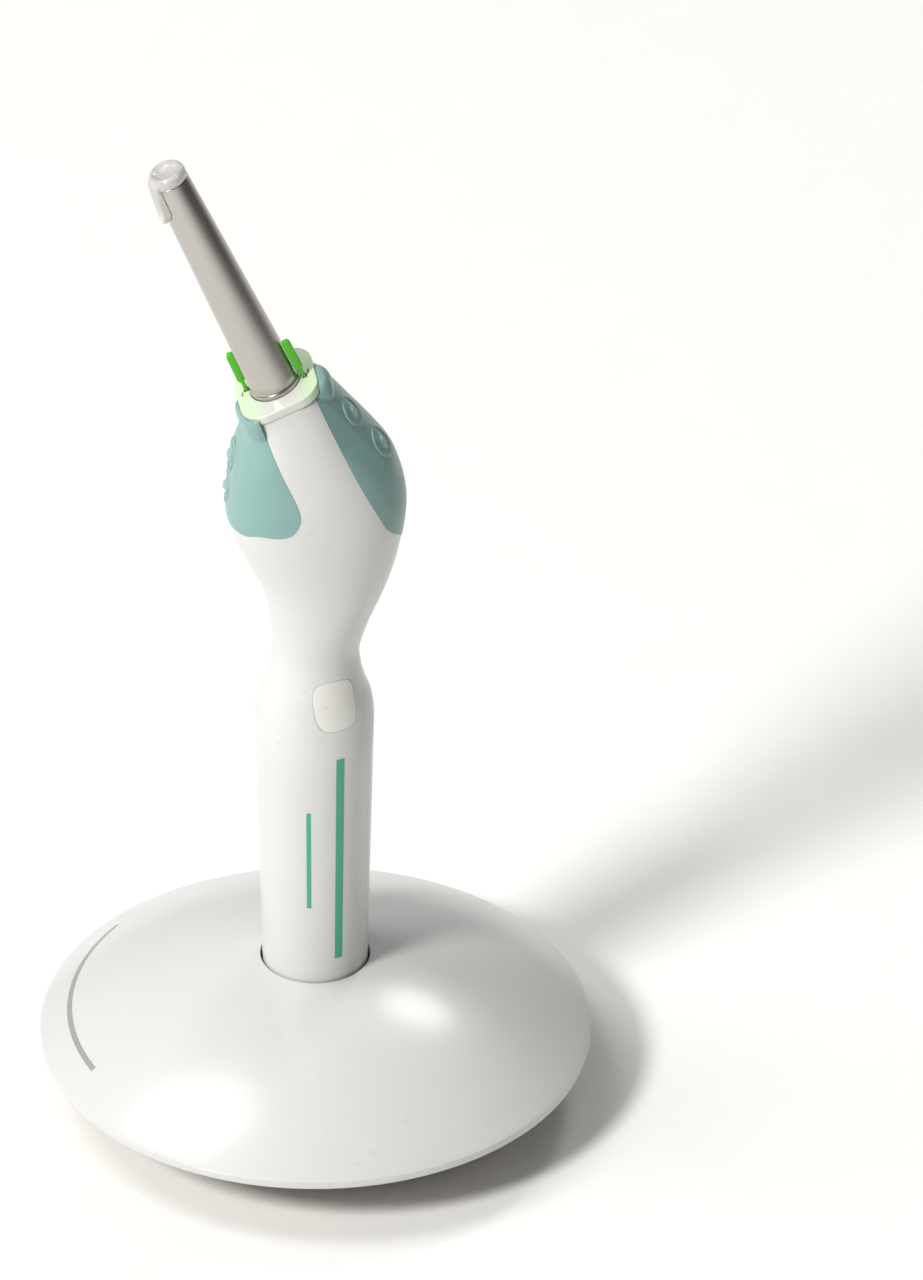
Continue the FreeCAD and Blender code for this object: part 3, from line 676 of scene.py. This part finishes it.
def superellipse(half_width, half_depth, power, place, count):
    """Points round an oval whose power makes it rounder (2) or squarer (more)."""
    points = []
    for step in range(count):
        angle = 2 * math.pi * step / count
        along, side = math.cos(angle), math.sin(angle)
        reach = (abs(along) ** power + abs(side) ** power) ** (-1.0 / power)
        points.append(place @ Vector((half_width * reach * along * MM,
                                      half_depth * reach * side * MM, 0)))
    return points


def head_form(inset, low=0.0, high=0.0, per_section=8, count=144):
    """The head's outer form, drawn in by inset all round and made longer at its two ends."""
    rings = []
    for step in range((len(HEAD_SECTIONS) - 1) * per_section + 1):
        x, z, tilt, width, depth, power = between(HEAD_SECTIONS, step / per_section)
        place = Matrix.Translation((x * MM, 0, z * MM)) @ Matrix.Rotation(
            -math.radians(tilt), 4, "Y")
        rings.append((place, width - inset, depth - inset, power))
    rings[0] = (Matrix.Translation((0, 0, -low * MM)) @ rings[0][0],) + rings[0][1:]
    rings[-1] = (rings[-1][0] @ Matrix.Translation((0, 0, high * MM)),) + rings[-1][1:]
    return lofted([superellipse(width, depth, power, place, count)
                   for place, width, depth, power in rings])


def grip_region(side, gap=0.0):
    """Everything on one side of a grip's edge, right through the head from front to back, and
    drawn in from the edge by the gap."""
    edge = GRIP_EDGES[side]
    curve = [Vector(between(edge, spot)) for spot in across(0, len(edge) - 1, 8 * (len(edge) - 1))]
    curve.insert(0, curve[0] + (curve[0] - curve[1]).normalized() * 8)
    moved = []
    for before, here, after in zip(curve[:1] + curve, curve, curve[1:] + curve[-1:]):
        run = (after - before).normalized()
        moved.append(here + Vector((-run.y, run.x)) * gap * SIDES[side])
    reach = SIDES[side] * 40.0
    return prism([tuple(spot) for spot in moved]
                 + [(reach, moved[-1].y), (reach, moved[0].y)], 60)


def facing(name):
    """A place on a button's spot whose Z looks out of the head and whose X stays level."""
    outward = FACING[name.split("_")[0]].normalized()
    level = outward.cross(Vector((0, 0, 1))).normalized()
    turn = Matrix((level, outward.cross(level), outward)).transposed().to_4x4()
    return Matrix.Translation(Vector(BUTTONS[name]) * MM) @ turn


def window_column(grow):
    """A rounded four-sided column through the shoulder."""
    place = (Matrix.Rotation(math.radians(14), 4, "Z")
             @ Matrix.Translation((0.2 * MM, 0, 97.4 * MM)) @ Matrix.Rotation(
                 math.radians(90), 4, "X"))
    half_width, half_height = 4.5 + grow, 5.05 + grow
    return lofted([superellipse(half_width, half_height, 3.4,
                                place @ Matrix.Translation((0, 0, out * MM)), 64)
                   for out in (5, 20)])


def head_housing():
    shell = head_form(0.0)
    for side in SIDES:
        pocket = carved(grip_region(side), head_form(GRIP_DEPTH, 0, 1.5, 4, 96))
        shell = carved(shell, pocket)
    shell = carved(shell, carved(window_column(0.08), head_form(WINDOW_DEPTH, 2, 2, 4, 96)))
    shell = carved(shell, head_form(SHELL_WALL, 1, 2, 4, 96))
    neck = turned([(10.1, 80), (10.1, 92.5), (8.4, 92.5), (8.4, 80)], steps=96, ring=True)
    piece("head_shell", joined(shell, soften(neck, 0.1, 2)), "pen", "white_abs",
          ["head_housing"])


def status_window():
    pane = carved(head_form(0.0), window_column(0.0), "INTERSECT")
    pane = carved(pane, head_form(WINDOW_DEPTH, 2, 2, 4, 96))
    piece("window_pane", pane, "pen", "clear_window", ["status_window"])


def eased(value):
    """Slow at both ends: 0 up to 0, 1 from 1 on."""
    value = min(1, max(0, value))
    return value * value * (3 - 2 * value)


def lip(side):
    """The rolled lobe beside the collar: it starts at the front strip and fades at the back."""
    wire, start = LOBES[side]
    rings, tip, rise, drop = [], 18.15, 1.7, 3.4
    for step in range(17):
        angle = math.pi * step / 16
        points = []
        for point in superellipse(8.4, 9.3, 3.2, Matrix(), 120):
            share = (eased((SIDES[side] * point.x / point.length - start) / 0.3)
                     * (1 - eased((point.y / MM + 1) / 6)))
            low, high = tip - 0.6 - drop * share, tip + rise * share
            height = (low + high) / 2 - (high - low) / 2 * math.cos(angle)
            swell = wire * math.sin(angle) ** 0.7 * share - 0.5 * (1 - share)
            lifted = Vector((0, 0, height * MM))
            points.append(LEAN @ (point + point.normalized() * swell * MM + lifted))
        rings.append(points)
    return lofted(rings)


def leaf_cut(skin):
    """What the thumb facet beside the right buttons takes away: all that stands outside the
    straight lines from its lower edge to its upper one."""
    rings, last = [], len(LEAF_EDGES["lower"]) - 1
    for place in across(0.03, last - 0.03, 40):
        spots = []
        for edge in ("lower", "upper"):
            x, z = between(LEAF_EDGES[edge], place)
            spot, normal, _, _ = skin.ray_cast(Vector((x, -40, z)) * MM, Vector((0, 1, 0)))
            spots.append(spot - normal * 0.06 * MM)
        low, high = spots
        sideways = (high - low) * 0.5
        out = LEAF_RUN.cross(sideways).normalized() * 4 * MM
        rings.append([low - sideways, high + sideways, high + sideways + out,
                      low - sideways + out])
    return lofted(rings)


def ring_bead(skin, place):
    """A fine raised line round a button, which follows the grip's own curve."""
    radius, wire = 3.2, 0.34
    outline = [(radius + wire * math.cos(math.pi * step / 6), wire * math.sin(math.pi * step / 6))
               for step in range(12)]
    bead = turned(outline, steps=96, ring=True)
    back, inward = place.inverted(), place.to_3x3() @ Vector((0, 0, -1))
    for vert in bead.verts:
        middle = Vector((vert.co.x, vert.co.y, 0)).normalized() * radius * MM
        spot = skin.ray_cast(place @ (middle + Vector((0, 0, 15 * MM))), inward)[0]
        vert.co.z += (back @ spot).z - 0.06 * MM
    return placed(bead, place)


def collar_room():
    """The space that the collar plate takes, and a little air round it."""
    return lofted([superellipse(COLLAR_WIDTH / 2 + 0.08, COLLAR_DEPTH / 2 + 0.08, 4.2,
                                LEAN @ Matrix.Translation((0, 0, height * MM)), 96)
                   for height in (COLLAR_LOW - 0.1, COLLAR_LOW + 5.8)])


def grip(side):
    """Melted from its solids a little past its edge, cut to shape, and then trimmed clean."""
    form = head_form(-GRIP_PROUD)
    surface = BVHTree.FromBMesh(form)
    skin = carved(form, grip_region(side, -0.8), "INTERSECT")
    skin = remeshed(joined(skin, lip(side)), GRIP_VOXEL, 4)
    skin = carved(skin, head_form(GRIP_DEPTH, 2, 2, 4, 96))
    if side == "right":
        skin = carved(skin, leaf_cut(surface))
    places = [facing(name) for name in BUTTONS if name.startswith(side)]
    for place in places:
        skin = carved(skin, turned([(0, -4), (1.94, -4), (1.94, 4), (0, 4)], place, 48))
    skin = carved(carved(skin, grip_region(side, 0.06), "INTERSECT"), collar_room())
    piece("soft_grip_" + side, joined(skin, *[ring_bead(surface, place) for place in places]),
          "pen", "teal_silicone", ["grip_" + side])


def buttons():
    """A cap whose small middle nub is felt through a glove, on a stem that works its switch."""
    for name in BUTTONS:
        cap = turned([(0, -2.95), (0.9, -2.95), (0.9, -0.6), (1.9, -0.6), (1.9, 0.12), (1.75, 0.2),
                      (1.05, 0.22), (0.95, 0.5), (0.75, 0.74), (0.4, 0.84), (0, 0.85)],
                     facing(name), 48)
        piece("cap_" + name, soften(cap, 0.08, 2), "button_" + name, "button_silicone",
              ["button_" + name])


def stem_place(side, height):
    """Where a clip's stem passes that height above the head's own origin."""
    return LEAN @ Matrix.Translation((side * CLIP_OUT * MM, side * CLIP_BACK * MM, height * MM))


def collar():
    """A rounded plate with the probe's bore, two openings for the clips and two fine slots."""
    plate = block(COLLAR_WIDTH, COLLAR_DEPTH, COLLAR_THICK,
                  LEAN @ Matrix.Translation((0, 0, COLLAR_LOW * MM)))
    axis = LEAN.to_3x3() @ Vector((0, 0, 1))
    upright = [edge for edge in plate.edges
               if abs((edge.verts[0].co - edge.verts[1].co).normalized().dot(axis)) > 0.9]
    bmesh.ops.bevel(plate, geom=upright, offset=COLLAR_CORNER * MM, segments=14, profile=0.5,
                    affect="EDGES", material=-1)
    soften(plate, 0.3, 4)
    bore = [(0, 17), (5.5, 17), (5.5, 22), (0, 22)]
    plate = carved(plate, turned(bore, LEAN, 96))
    for side in (-1, 1):
        slot = LEAN @ Matrix.Rotation(math.radians(-10), 4, "Z") @ Matrix.Translation(
            (side * 7.0 * MM, side * 0.3 * MM, 19.4 * MM))
        plate = carved(plate, block(0.35, 1.5, 2, slot))
        plate = carved(plate, block(1.11, 1.3, 4, stem_place(side, COLLAR_LOW + 0.2)))
    piece("collar_plate", plate, "pen", "collar_white", ["collar_ring"])


def clips():
    """A springy green paddle on a narrow stem, drawn flat and given its thickness."""
    outline = [(-0.37, 0), (0.37, 0), (0.37, 3.7), (0.85, 4.7), (0.85, 10.6), (0.5, 11.35),
               (-0.45, 11.35), (-0.85, 10.9), (-0.85, 4.7), (-0.37, 3.9)]
    for name, side in SIDES.items():
        place = stem_place(side, COLLAR_LOW + 0.35) @ Matrix.Rotation(
            math.radians(-side * 1.3), 4, "Y")
        paddle = soften(prism([(side * x, z) for x, z in outline], 1.1, place), 0.16, 3,
                        math.radians(20))
        piece("paddle_" + name, paddle, "clip_" + name, "clip_green", ["clip_" + name])


# ---------------------------------------------------------------- probe
EYE = LEAN @ Matrix.Translation((0, 0, 71 * MM)) @ SIDEWAYS


def probe():
    outline = [(3.6, 13.2), (4.5, 13.2), (4.5, 18.4), (5.35, 18.4), (5.35, 20.95), (5.05, 21.25),
               (3.8, 75.3), (0, 75.3), (0, 74.5), (2.9, 74.5), (4.2, 20.2)]
    tube = soften(turned(outline, LEAN, 128), 0.12, 3)
    tube = carved(tube, turned([(0, 0), (2.5, 0), (2.5, 6), (0, 6)], EYE, 64))
    piece("probe_shaft", tube, "pen", "probe_metal", ["probe_tube"])


def tip_lens():
    lens = turned([(0, 2.2), (2.5, 2.2), (2.5, 2.85), (2.2, 3.12), (1.5, 3.45), (0.8, 3.6),
                   (0, 3.65)], EYE, 64)
    piece("lens_dome", soften(lens, 0.06, 2), "pen", "lens_glass", ["tip_lens"])


def tip_cap():
    """A clear shield: a dished end with a raised rim, and a tongue that covers the lens."""
    end = turned([(0, 75.32), (3.8, 75.32), (3.86, 76.2), (3.72, 77.0), (3.3, 77.55), (2.8, 77.66),
                  (2.35, 77.35), (1.9, 76.95), (1.0, 76.75), (0, 76.7)], LEAN, 64)
    tongue = turned([(0, -2), (3.2, -2), (3.2, 7), (0, 7)],
                    LEAN @ Matrix.Translation((0, 0, 69.7 * MM)) @ SIDEWAYS, 64)
    bar = block(6, 6.4, 8, LEAN @ Matrix.Translation((-4 * MM, 0, 69.7 * MM)))
    column = remeshed(joined(tongue, bar), 0.2, 1)
    skin = turned([(0, 66), (5.2, 66), (5.25, 69), (4.9, 72.5), (4.35, 76.0), (3.7, 76.9),
                   (0, 76.9)], LEAN, 96)
    tongue = carved(column, skin, "INTERSECT")
    bore = turned([(0, 60), (4.21, 60), (3.85, 75.3), (0, 75.3)], LEAN, 96)
    tongue = carved(tongue, bore)
    shield = remeshed(joined(end, tongue), CAP_VOXEL, 4)
    piece("clear_tip_shield", shield, "tip_cap", "clear_shield", ["tip_cap"])


# ---------------------------------------------------------------- stage
def aim(thing, place, target):
    thing.location = place
    thing.rotation_euler = (Vector(target) - Vector(place)).to_track_quat("-Z", "Y").to_euler()


def seen_from(azimuth, elevation, distance, target=Vector((0, 0, 0))):
    """A place at that distance from the target; azimuth 0 looks along +Y."""
    level = math.cos(elevation) * distance
    return target + Vector((math.sin(azimuth) * level, -math.cos(azimuth) * level,
                            math.sin(elevation) * distance))


def make_camera():
    """A long lens far off, so that upright edges stay nearly parallel."""
    frame_height, distance, aim_right, aim_up = 256 * MM, 8.4, 29.2 * MM, 88.2 * MM
    right = Vector((math.cos(VIEW_AZIMUTH), math.sin(VIEW_AZIMUTH), 0))
    outward = seen_from(VIEW_AZIMUTH, VIEW_ELEVATION, 1.0)
    up = outward.cross(right)
    target = right * aim_right + up * aim_up
    camera = bpy.data.objects.new("camera", bpy.data.cameras.new("camera"))
    camera.data.lens = camera.data.sensor_width * distance / frame_height
    camera.data.clip_end = 300
    bpy.context.scene.collection.objects.link(camera)
    aim(camera, target + outward * distance, target)
    bpy.context.scene.camera = camera


def softbox(name, azimuth, elevation, width, height, power, tint):
    """An oval light: its size and power are those that it would need one metre away."""
    distance = 3.0
    light = bpy.data.lights.new(name, "AREA")
    light.shape, light.size, light.size_y = "ELLIPSE", width * distance, height * distance
    light.energy, light.color = power * distance ** 2, linear(tint)[:3]
    lamp = bpy.data.objects.new(name, light)
    bpy.context.scene.collection.objects.link(lamp)
    target = Vector((0, 0, 0.08))
    aim(lamp, seen_from(math.radians(azimuth), math.radians(elevation), distance, target), target)


def tone_ramp(tree, spot, tones):
    """A grey that changes along the spots of tones, [(spot, grey), ...]; darks are faintly warm."""
    ramp = add(tree, "ValToRGB", Fac=spot)
    stops = ramp.color_ramp.elements
    while len(stops) < len(tones):
        stops.new(0.5)
    for stop, (place, tone) in zip(stops, tones):
        warmth = 0.1 * (1 - tone)
        stop.position = place
        stop.color = (tone, tone * (0.99 - warmth), tone * (0.98 - warmth / 2), 1)
    return ramp.outputs["Color"]


# Greys of the walls, by the share of a turn round the room: what lights the object, and what its
# glossy pieces mirror.
LIT_WALLS = [(0.0, 0.85), (0.38, 0.8), (0.5, 0.5), (0.58, 0.05), (0.8, 0.04), (0.88, 0.4),
             (1.0, 0.85)]
MIRRORED_WALLS = [(0.0, 0.85), (0.27, 0.76), (0.4, 0.5), (0.44, 0.24), (0.475, 0.34),
                  (0.52, 0.18), (0.78, 0.12), (0.85, 0.5), (1.0, 0.85)]
CEILING = (0.8, 0.79, 0.78, 1)


def room_colour(tree, mirrored):
    """The walls' tones all round, and the ceiling's above them."""
    direction = add(tree, "TexCoord").outputs["Generated"]
    turned_room = add(tree, "Mapping", {"vector_type": "POINT"}, Vector=direction,
                      Rotation=(0, 0, math.radians(100)))
    round_room = add(tree, "TexGradient", {"gradient_type": "RADIAL"},
                     Vector=turned_room.outputs[0]).outputs["Fac"]
    walls = add(tree, "Mix", {"data_type": "RGBA"}, no0=mirrored,
                no6=tone_ramp(tree, round_room, LIT_WALLS),
                no7=tone_ramp(tree, round_room, MIRRORED_WALLS))
    height = add(tree, "SeparateXYZ", Vector=direction)
    upward = add(tree, "MapRange", {"interpolation_type": "SMOOTHSTEP"},
                 Value=height.outputs["Z"], From_Min=0.5, From_Max=0.9)
    return add(tree, "Mix", {"data_type": "RGBA"}, no0=upward.outputs["Result"],
               no6=walls.outputs[2], no7=CEILING).outputs[2]


def make_world():
    """A pale room that is darker to the right, seen as plain white."""
    world = bpy.data.worlds.new("room")
    bpy.context.scene.world = world
    world.use_nodes = True
    tree = world.node_tree
    tree.nodes.clear()
    path = add(tree, "LightPath")
    lit = add(tree, "Background", Color=room_colour(tree, path.outputs["Is Glossy Ray"]),
              Strength=0.42)
    plain = add(tree, "Background", Color=(1, 1, 1, 1), Strength=1.0)
    mixed = add(tree, "MixShader", no0=path.outputs["Is Camera Ray"], no1=lit.outputs[0],
                no2=plain.outputs[0])
    add(tree, "OutputWorld", Surface=mixed.outputs[0])


def make_floor():
    bm = bmesh.new()
    bmesh.ops.create_grid(bm, x_segments=4, y_segments=4, size=3.0)
    floor = shown("floor", bm)
    floor.data.materials.append(floor_paper())


make_camera()
make_world()
softbox("key", -55, 39, 0.22, 0.22, 8.4, "#FFFEFC")
softbox("overhead", -108, 62, 0.42, 0.56, 3.3, "#FFFFFF")
softbox("back", 142, 48, 0.24, 0.2, 1.5, "#FFFFFF")
make_floor()
bpy.context.scene.view_settings.view_transform = "Standard"

finish_cad_nodes()
base_dome()
rubber_feet()
base_screws()
power_inlet()
base_print()
handle_sleeve()
handle_print()
head_housing()
status_window()
grip("left")
grip("right")
buttons()
collar()
clips()
probe()
tip_lens()
tip_cap()
